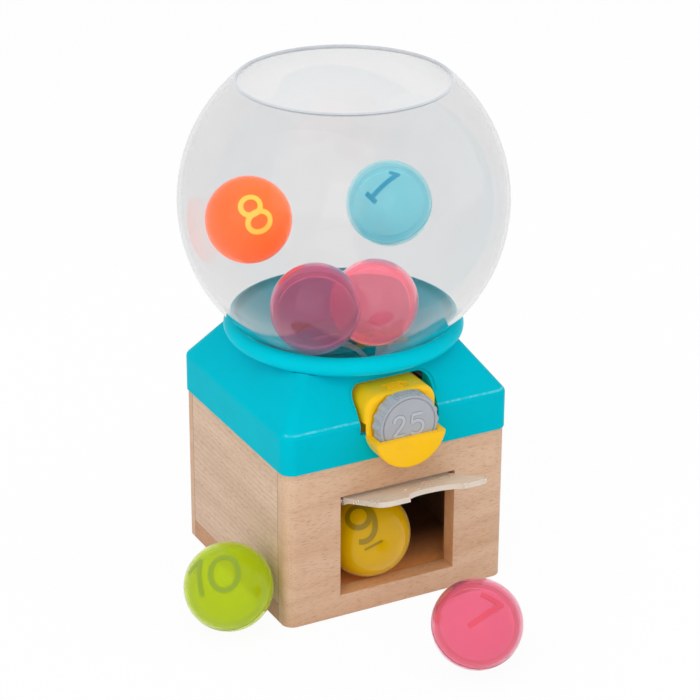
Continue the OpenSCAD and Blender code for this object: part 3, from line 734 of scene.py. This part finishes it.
spring = bpy.data.objects.new("return_spring_wire", solids["return_spring"].data.copy())
scene.collection.objects.link(spring)
edit_all(spring)
bpy.ops.mesh.remove_doubles(threshold=MERGE_WIRE)
bpy.ops.object.mode_set(mode="OBJECT")
spring.data.materials.clear()
spring.data.materials.append(steel)
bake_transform(spring)
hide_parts("return_spring")

# %% [markdown]
# ## Bowl
# The bowl is clear plastic, blown round, with a hole below, an open mouth and a rounded rim. A sphere
# primitive has poles and flat facets, which clear plastic shows at once. So its section is drawn as one
# closed line, in millimetres, and spun round the upright axis: a spin gives an even, smooth wall of one
# thickness.

# %% Section lines
def circle_point(cx, cz, radius, angle):
    """A point on a circle in the section, with its angle in degrees."""
    turned = math.radians(angle)
    return (cx + radius * math.cos(turned), cz + radius * math.sin(turned))


def arc(cx, cz, radius, start, end, count):
    """Points along a circle in the section, from one angle to another."""
    return [circle_point(cx, cz, radius, start + (end - start) * i / count) for i in range(count + 1)]


def new_piece(name, points, edges, faces):
    """A piece with this mesh, at the origin."""
    mesh = bpy.data.meshes.new(name)
    mesh.from_pydata(points, edges, faces)
    piece = bpy.data.objects.new(name, mesh)
    scene.collection.objects.link(piece)
    return piece


def spin_section(name, section, steps, closed):
    """Spins a line of (radius, height) points, in millimetres, round the Z axis."""
    edges = [(i, i + 1) for i in range(len(section) - 1)]
    if closed:
        edges.append((len(section) - 1, 0))
    piece = new_piece(name, [(radius * MM, 0.0, height * MM) for radius, height in section], edges, [])
    edit_all(piece)
    bpy.ops.mesh.spin(steps=steps, angle=math.tau, center=(0, 0, 0), axis=(0, 0, 1))
    bpy.ops.mesh.select_all(action="SELECT")
    bpy.ops.mesh.remove_doubles(threshold=0.000002)
    bpy.ops.mesh.normals_make_consistent(inside=False)
    bpy.ops.object.mode_set(mode="OBJECT")
    bpy.ops.object.shade_smooth_by_angle(angle=math.radians(35))
    return piece


print("a quarter circle of radius 1 ends at", [round(v, 3) for v in circle_point(0, 0, 1, 90)])

# %% Bowl
BOWL_Z = 206.8  # height of the bowl's middle
BOWL_OUT = 86.2
BOWL_IN = 84.2
BOWL_STEPS = 192
HOLE = 27.0  # radius of the hole below
MOUTH = 55.0  # radius of the mouth, in the middle of the solid's wall
SOLID_WALL = 84.8  # radius of the bowl there
LIP = (BOWL_OUT - BOWL_IN) / 2
RIM_BAND = 0.4  # degrees of the wall that count as rim

hole_out = -math.degrees(math.acos(HOLE / BOWL_OUT))
hole_in = -math.degrees(math.acos(HOLE / BOWL_IN))
mouth_at = math.degrees(math.acos(MOUTH / SOLID_WALL))
lip_x, lip_z = circle_point(0, BOWL_Z, BOWL_OUT - LIP, mouth_at)
outside = arc(0, BOWL_Z, BOWL_OUT, hole_out, mouth_at - RIM_BAND, 96)
rounded_lip = ([circle_point(0, BOWL_Z, BOWL_OUT, mouth_at)]
               + arc(lip_x, lip_z, LIP, mouth_at + 12, mouth_at + 168, 12)
               + [circle_point(0, BOWL_Z, BOWL_IN, mouth_at)])
inside = arc(0, BOWL_Z, BOWL_IN, mouth_at - RIM_BAND, hole_in, 96)
bowl = spin_section("clear_bowl", outside + rounded_lip + inside, BOWL_STEPS, closed=True)
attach(bowl, "base")
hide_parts("globe_bowl")
print("bowl faces:", len(bowl.data.polygons), "height", round(bowl.dimensions.z, 4))

# %% [markdown]
# ## Clear plastic
# Real clear plastic is never perfectly clear. It carries a trace of haze and a slow wave from the mould,
# and it looks greyer where the eye meets the wall edge-on, because it looks through more of it. The IOR
# is lower than that of real plastic, which keeps the bowl's edges from turning dark. Low down, over the
# dish, the edge is tinted less, so that the teal shows.

# %% Clear plastic
CLEAR_LIGHT = (0.862, 0.86, 0.863, 1)
CLEAR_DULL = (0.838, 0.837, 0.842, 1)
EDGE_OVER_DISH = (0.9, 0.9, 0.9, 1)
EDGE_GREY = (0.74, 0.745, 0.75, 1)
GREY_FROM = (BOWL_Z - 52.0) * MM
GREY_TO = (BOWL_Z - 22.0) * MM

clear, clear_tree, clear_skin = fresh_material("clear_plastic")
clear_place = object_place(clear_tree)
clear_haze = noise(clear_tree, clear_place, 30.0, 4.0, 0.6)
even_clear = blend_colour(clear_tree, ramp(clear_tree, clear_haze, 0.3, 0.8), CLEAR_LIGHT, CLEAR_DULL)
above_dish = ramp(clear_tree, axes_of(clear_tree, clear_place)["Z"], GREY_FROM, GREY_TO)
edge_tint = blend_colour(clear_tree, above_dish, EDGE_OVER_DISH, EDGE_GREY)
clear_colour = blend_colour(clear_tree, turned_away(clear_tree, 0.35, 0.3, 0.95), even_clear, edge_tint)
wire(clear_tree, clear_colour, clear_skin.inputs["Base Color"])
wire(clear_tree, ramp(clear_tree, clear_haze, 0.3, 0.8, 0.0, 0.035), clear_skin.inputs["Roughness"])
clear_skin.inputs["IOR"].default_value = 1.34
clear_skin.inputs["Transmission Weight"].default_value = 1.0
bump(clear_tree, noise(clear_tree, clear_place, 14.0, 2.0), 0.05, 0.4 * MM, clear_skin)
bowl.data.materials.append(clear)
print("clear plastic nodes:", len(clear_tree.nodes))

# %% [markdown]
# ## Rim
# A clear wall carries light along itself and lets it out at its edge, so a real rim looks like a pale
# line. In a renderer that light is mostly lost in the wall, and a clear rim turns black. So the rim's
# faces get their own material, nearly solid, light grey, and with a weak light of its own.

# %% Rim
rim, rim_tree, rim_skin = fresh_material("clear_rim")
rim_cloud = noise(rim_tree, object_place(rim_tree), 90.0, 3.0, 0.6)
clouded(rim_tree, rim_skin, rim_cloud, (0.15, 0.25), (0.4, 0.42, 0.44, 1), (0.46, 0.48, 0.5, 1))
rim_skin.inputs["IOR"].default_value = 1.45
rim_skin.inputs["Transmission Weight"].default_value = 0.1
rim_skin.inputs["Emission Color"].default_value = (0.8, 0.84, 0.88, 1)
rim_skin.inputs["Emission Strength"].default_value = 0.22
bowl.data.materials.append(rim)
rim_faces = 0
for face in bowl.data.polygons:
    from_axis = math.hypot(face.center.x, face.center.y)
    lift = math.degrees(math.atan2(face.center.z - BOWL_Z * MM, from_axis))
    if lift > mouth_at - RIM_BAND:
        face.material_index = 1
        rim_faces += 1
print("rim faces:", rim_faces)

# %% [markdown]
# ## Flap
# The flap is clear plastic too, but its moulded faces are slightly frosted, so it shows as a milky plate.
# A Transmission Weight of less than half gives that milk. Its colour is painted warm, a painted reflection of
# the wood around it.

# %% Flap
frosted, frosted_tree, frosted_skin = fresh_material("frosted_plastic")
frost_cloud = noise(frosted_tree, object_place(frosted_tree), 60.0, 4.0, 0.6)
# The warm colours are a painted reflection of the wood around the flap.
clouded(frosted_tree, frosted_skin, frost_cloud, (0.18, 0.3), (1.0, 0.9, 0.79, 1), (0.95, 0.84, 0.72, 1))
frosted_skin.inputs["IOR"].default_value = 1.46
frosted_skin.inputs["Transmission Weight"].default_value = 0.42
bump(frosted_tree, frost_cloud, 0.08, 0.1 * MM, frosted_skin)
dress(frosted, "door_flap")

# %% [markdown]
# ## Hollow balls
# Each ball is two thin half shells, welded at a seam: a groove runs round the outside, and a rib round
# the inside. A sphere with a Solidify modifier would have neither. So the section is drawn with groove
# and rib and spun. It touches the axis at four points, so it is spun as two open lines, the skin and the
# hollow, and joined.

# %% Ball shells
BALL_R = 23.4
BALL_WALL = 1.6
BALL_STEPS = 112
POLE = 89  # degrees, then a straight step to the axis
GROOVE_ANGLE = 1.6  # degrees of the skin on each side of the seam
GROOVE_DEEP = 0.6
GROOVE_HALF = 0.36
RIB_ANGLE = 2.6
RIB_DEEP = 2.6
RIB_HALF = 0.8

hollow_r = BALL_R - BALL_WALL
groove_r = BALL_R - GROOVE_DEEP
rib_r = hollow_r - RIB_DEEP
ball_skin = ([(0.0, -BALL_R)] + arc(0, 0, BALL_R, -POLE, -GROOVE_ANGLE, 44)
             + [(groove_r, -GROOVE_HALF), (groove_r, GROOVE_HALF)]
             + arc(0, 0, BALL_R, GROOVE_ANGLE, POLE, 44) + [(0.0, BALL_R)])
ball_hollow = ([(0.0, hollow_r)] + arc(0, 0, hollow_r, POLE, RIB_ANGLE, 40)
               + [(rib_r, RIB_HALF), (rib_r, -RIB_HALF)]
               + arc(0, 0, hollow_r, -RIB_ANGLE, -POLE, 40) + [(0.0, -hollow_r)])

pattern = spin_section("shell_pattern", ball_skin, BALL_STEPS, closed=False)
hollow = spin_section("shell_pattern_hollow", ball_hollow, BALL_STEPS, closed=False)
edit_all(hollow)
bpy.ops.mesh.normals_make_consistent(inside=True)
bpy.ops.object.mode_set(mode="OBJECT")
pattern.select_set(True)
bpy.context.view_layer.objects.active = pattern
bpy.ops.object.join()
print("shell faces:", len(pattern.data.polygons))

# %% [markdown]
# ## Strokes
# A numeral is a few strokes. Text would be quicker, but the toy's figures are rounder than a font's, and
# bend with the ball. So a stroke is a path, in millimetres along the surface, with a ribbon of faces beside
# it. The ribbons are laid on the surface, a hair above each other where they cross, and thickened.

# %% Paths
def loop(cx, cy, rx, ry, tilt=0.0, count=56):
    """A closed oval, with its tilt in degrees."""
    c, s = math.cos(math.radians(tilt)), math.sin(math.radians(tilt))
    path = []
    for i in range(count):
        angle = math.tau * i / count
        x, y = rx * math.cos(angle), ry * math.sin(angle)
        path.append((cx + x * c - y * s, cy + x * s + y * c))
    return path


def line(start, end, step=0.9):
    """A straight path, cut into short steps so that it can bend."""
    pieces = max(1, round(math.dist(start, end) / step))
    run_x, run_y = end[0] - start[0], end[1] - start[1]
    return [(start[0] + run_x * i / pieces, start[1] + run_y * i / pieces) for i in range(pieces + 1)]


def smooth_line(*knots, steps=8):
    """A path that flows through the knots, by a Catmull-Rom curve."""
    path = []
    for i in range(len(knots) - 1):
        near = knots[max(i - 1, 0)], knots[i], knots[i + 1], knots[min(i + 2, len(knots) - 1)]
        for k in range(steps):
            t = k / steps
            path.append(tuple(0.5 * (2 * b + (c - a) * t + (2 * a - 5 * b + 4 * c - d) * t * t
                                     + (3 * b - 3 * c + d - a) * t ** 3)
                              for a, b, c, d in zip(*near)))
    return path + [knots[-1]]


print("a 10 mm line has", len(line((0, 0), (10, 0))), "points, a loop has", len(loop(0, 0, 5, 5)))

# %% Ribbons
ACROSS = (-1, -0.33, 0.33, 1)  # four rails, as shares of half the width


def ribbon(path, width, closed):
    """Four rails along a path, as points, and the faces between them."""
    rails, faces, count = [], [], len(path)
    for i, (x, y) in enumerate(path):
        before = path[i - 1] if closed or i else path[0]
        after = path[(i + 1) % count] if closed or i < count - 1 else path[-1]
        dx, dy = after[0] - before[0], after[1] - before[1]
        length = math.hypot(dx, dy)
        side_x, side_y = -dy / length * width / 2, dx / length * width / 2
        rails += [(x + side_x * share, y + side_y * share) for share in ACROSS]
    for i in range(count if closed else count - 1):
        j = (i + 1) % count
        faces += [(4 * i + k, 4 * i + k + 1, 4 * j + k + 1, 4 * j + k) for k in range(3)]
    return rails, faces


def raised_strokes(name, strokes, lay, looks_out, thickness):
    """Ribbons made solid. lay(x, y, level) places a point. looks_out(face) is above 0 for an outer face."""
    points, faces = [], []
    for level, (path, width, closed) in enumerate(strokes):
        rails, quads = ribbon(path, width, closed)
        start = len(points)
        points += [lay(x, y, level) for x, y in rails]
        faces += [[start + i for i in quad] for quad in quads]
    piece = new_piece(name, points, [], faces)
    edit_all(piece)
    bpy.ops.mesh.normals_make_consistent(inside=False)
    bpy.ops.object.mode_set(mode="OBJECT")
    outward = sum(looks_out(face) for face in piece.data.polygons) > 0
    thick = piece.modifiers.new("thickness", "SOLIDIFY")
    thick.thickness = thickness
    thick.offset = 1.0 if outward else -1.0
    bpy.ops.object.modifier_apply(modifier=thick.name)
    return piece


print("a ribbon has", len(ACROSS), "rails")

# %% Numerals
INK_SINK = 0.3  # the ribbon starts this far inside the skin, so that no gap shows
INK_LIFT = 0.012  # and each next stroke a little higher
INK_THICK = 0.42 * MM


def on_ball(x, y, level):
    """Bends a flat point round the ball. Z points out of the ball, and Y is the numeral's up."""
    radius = BALL_R - INK_SINK + INK_LIFT * level
    reach = math.hypot(x, y)
    bend = reach / BALL_R
    side = radius * math.sin(bend) / reach
    return (side * x * MM, side * y * MM, radius * math.cos(bend) * MM)


def numeral(name, strokes):
    piece = raised_strokes(name, strokes, on_ball, lambda face: face.normal.dot(face.center), INK_THICK)
    bpy.ops.object.shade_smooth_by_angle(angle=math.radians(40))
    return piece


# For each numeral its strokes: path, width in millimetres, and whether the path is closed.
NUMERALS = {
    "1": [(line((0.25, -9.2), (0.1, 10.2)), 2.7, False), (line((-4.2, 8.1), (1.3, 11.1)), 2.2, False),
          (line((-4.1, -9.2), (4.0, -9.2)), 2.6, False)],
    "8": [(loop(0.2, 5.1, 5.3, 4.9), 2.85, True), (loop(0.2, -4.4, 6.3, 5.2), 2.85, True)],
    "9": [(loop(1.0, 5.2, 6.0, 6.0), 2.9, True),
          (smooth_line((4.4, 10.2), (7.2, 8.4), (8.45, 5.1), (8.4, 1.5), (7.35, -1.9), (6.1, -4.4),
                       (4.1, -6.6), (1.8, -7.9), (-0.7, -8.3), (-3.0, -7.9), (-4.9, -6.9)), 2.9, False),
          (line((-4.4, -12.2), (6.8, -12.2)), 1.3, False)],
    "10": [(loop(4.9, 0.9, 7.3, 9.1, tilt=5.0), 2.75, True), (line((-10.7, 8.6), (-7.1, -11.4)), 2.75, False),
           (line((-18.6, 2.3), (-10.2, 9.2)), 2.75, False)],
    "7": [(line((-5.2, 7.9), (7.6, 6.6)), 2.95, False), (line((7.0, 7.6), (-4.9, -10.8)), 2.95, False)],
}
print("strokes:", {digits: len(strokes) for digits, strokes in NUMERALS.items()})

# %% [markdown]
# ## Ball table
# A ball's plastic is clear and tinted, and is painted paler at the edge, a painted highlight where light
# gathers. The orange one is nearly solid, and deeper at its edge. Each ball glows a little too, painted light
# for light scattered in its plastic. So each ball has a row with its colour, its edge, how clear it is, how
# much it glows, its numeral, and the two directions that the numeral faces: outwards, and up.

# %% Ball table
# A painted pale edge highlight for the clear balls.
PALE_EDGE_HIGHLIGHT = (0.45, (0.95, 0.95, 0.95, 1))
DEEP_EDGE = (0.8, srgb(238, 60, 0))

BALLS = [
    # solid, body, slot, colour, edge, clear share, glow, numeral colour, digits, outward, upward
    ("ball_1_blue", "blue_ball", "blue_plastic", srgb(172, 232, 240), PALE_EDGE_HIGHLIGHT, 0.82, 0.09,
     srgb(0, 150, 184), "1", (-0.4647, -0.5447, 0.6981), (0.8307, 0.0049, 0.5567)),
    ("ball_8_orange", "orange_ball", "orange_plastic", srgb(255, 128, 0), DEEP_EDGE, 0.55, 0.3,
     srgb(255, 186, 56), "8", (-0.2302, -0.8532, 0.468), (-0.2884, 0.5191, 0.8046)),
    ("ball_9_yellow", "yellow_ball", "mustard_plastic", srgb(252, 212, 0), PALE_EDGE_HIGHLIGHT, 0.5, 0.02,
     srgb(150, 124, 0), "9", (-0.4851, -0.6447, 0.5907), (-0.1343, 0.7225, 0.6782)),
    ("ball_10_green", "green_ball", "lime_plastic", srgb(208, 224, 0), PALE_EDGE_HIGHLIGHT, 0.66, 0.05,
     srgb(134, 158, 20), "10", (-0.5488, -0.4699, 0.6914), (0.3964, 0.5819, 0.7101)),
    ("ball_7_pink", "pink_ball", "pink_plastic", srgb(246, 150, 176), PALE_EDGE_HIGHLIGHT, 0.82, 0.03,
     srgb(220, 72, 96), "7", (-0.1965, -0.6559, 0.7289), (0.6637, 0.4583, 0.5912)),
    ("ball_magenta", "magenta_ball", "magenta_plastic", srgb(226, 124, 170), PALE_EDGE_HIGHLIGHT, 0.86, 0.06,
     None, "", (-0.3, -0.5, 0.8), (0.0, 0.8, 0.5)),
    ("ball_rose", "rose_ball", "rose_plastic", srgb(255, 166, 184), PALE_EDGE_HIGHLIGHT, 0.82, 0.11,
     None, "", (-0.2, -0.75, 0.6), (0.4, 0.5, 0.7)),
]
print("balls:", ", ".join(row[0] for row in BALLS))

# %% [markdown]
# ## Seven balls
# The shell is modelled once, and each ball takes its own copy of the mesh, turned so that the numeral
# looks the right way. The turn goes into the mesh and not into the object, as every finished piece here
# stays at the origin. The numeral is a second, solid plastic on the same body.

# %% Seven balls
BALL_GLOSS = (0.0, 0.03)
INK_GLOSS = (0.18, 0.28)
INK_GLOW = 2.0  # times the glow of the shell


def turn_to(outward, upward):
    """The rotation that takes Z to outward and Y to upward."""
    z = Vector(outward).normalized()
    x = Vector(upward).cross(z).normalized()
    return Matrix((x, z.cross(x), z)).transposed().to_4x4()


def put(piece, place):
    """Moves the mesh itself, and leaves the piece's object at the origin."""
    piece.data.transform(place)
    piece.data.update()


def ball_plastic(name, colour, clear_share, glow, edge):
    return plastic(name, colour, BALL_GLOSS, mottle=0.02, ior=1.33, glow=glow, see_through=clear_share,
                   edge=edge, peel_depth=0.01 * MM)


for solid, body, slot, colour, edge, clear_share, glow, ink, digits, outward, upward in BALLS:
    place = Matrix.Translation(middle_of(solid)) @ turn_to(outward, upward)
    shell = pattern.copy()
    shell.data = pattern.data.copy()
    shell.name = solid + "_shell"
    scene.collection.objects.link(shell)
    put(shell, place)
    shell.data.materials.append(ball_plastic(solid + "_colour", colour, clear_share, glow, edge))
    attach(shell, body)
    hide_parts(solid)
    if digits:
        mark = numeral(solid + "_numeral", NUMERALS[digits])
        put(mark, place)
        mark.data.materials.append(plastic(solid + "_ink", ink, INK_GLOSS, glow=INK_GLOW * glow))
        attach(mark, body)
        print(mark.name, len(mark.data.polygons), "faces")
bpy.data.objects.remove(pattern)

# %% [markdown]
# ## Value on the coin
# The play coin shows its value in low relief. The same ribbons that make the numerals are laid on its
# flat face: first a wide, low and darker set, painted shade in the corner round each figure, and then the
# figures on top of it, painted a lighter grey as their highlight.

# %% Value on the coin
COIN_RADIUS = 17.5 * MM
COIN_SINK = 0.05  # the ribbon starts this far inside the face
COIN_LIFT = 0.004  # and each next stroke a little nearer to the front
SHADE_WIDER = 0.75
SHADE_RISE = 0.05
FIGURE_RISE = 0.2

coin_low, coin_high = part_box("coin")
coin_x = (coin_low[0] + coin_high[0]) / 2
coin_face = coin_low[1]
coin_z = coin_low[2] + COIN_RADIUS


def on_coin(x, y, level):
    """A flat point on the coin's front face, measured from the coin's middle."""
    return (coin_x + x * MM, coin_face + (COIN_SINK - COIN_LIFT * level) * MM, coin_z + y * MM)


def relief(name, strokes, rise, mat):
    piece = raised_strokes(name, strokes, on_coin, lambda face: -face.normal.y, (rise + COIN_SINK) * MM)
    piece.data.materials.append(mat)
    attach(piece, "coin_piece")
    print(name, len(piece.data.polygons), "faces")


figures = [
    (smooth_line((-8.6, 2.6), (-8.3, 4.6), (-6.2, 5.7), (-3.9, 5.0), (-3.1, 3.0), (-4.2, 0.4), (-6.6, -2.3),
                 (-8.9, -5.0)), 1.7, False),
    (line((-9.1, -5.1), (-2.6, -5.1)), 1.6, False),
    (line((1.8, 5.4), (7.6, 5.4)), 1.6, False),
    (line((1.9, 5.5), (1.4, 0.9)), 1.3, False),
    (smooth_line((1.4, 0.7), (4.2, 1.8), (7.2, 0.6), (8.1, -2.1), (6.6, -4.9), (3.4, -5.6), (0.9, -4.3)), 1.7,
     False),
]
figure_shade = [(path, width + SHADE_WIDER, closed) for path, width, closed in figures]
# Painted shade round the figures, and a painted highlight on the figures themselves.
shade_grey = plastic("coin_shade", srgb(146, 150, 158), (0.4, 0.55), mottle=0.1)
figure_highlight_grey = plastic("coin_figure", srgb(188, 192, 198), (0.28, 0.4), mottle=0.05)
relief("coin_figure_shade", figure_shade, SHADE_RISE, shade_grey)
relief("coin_figures", figures, FIGURE_RISE, figure_highlight_grey)
print("coin's middle at", [round(v, 4) for v in (coin_x, coin_face, coin_z)])
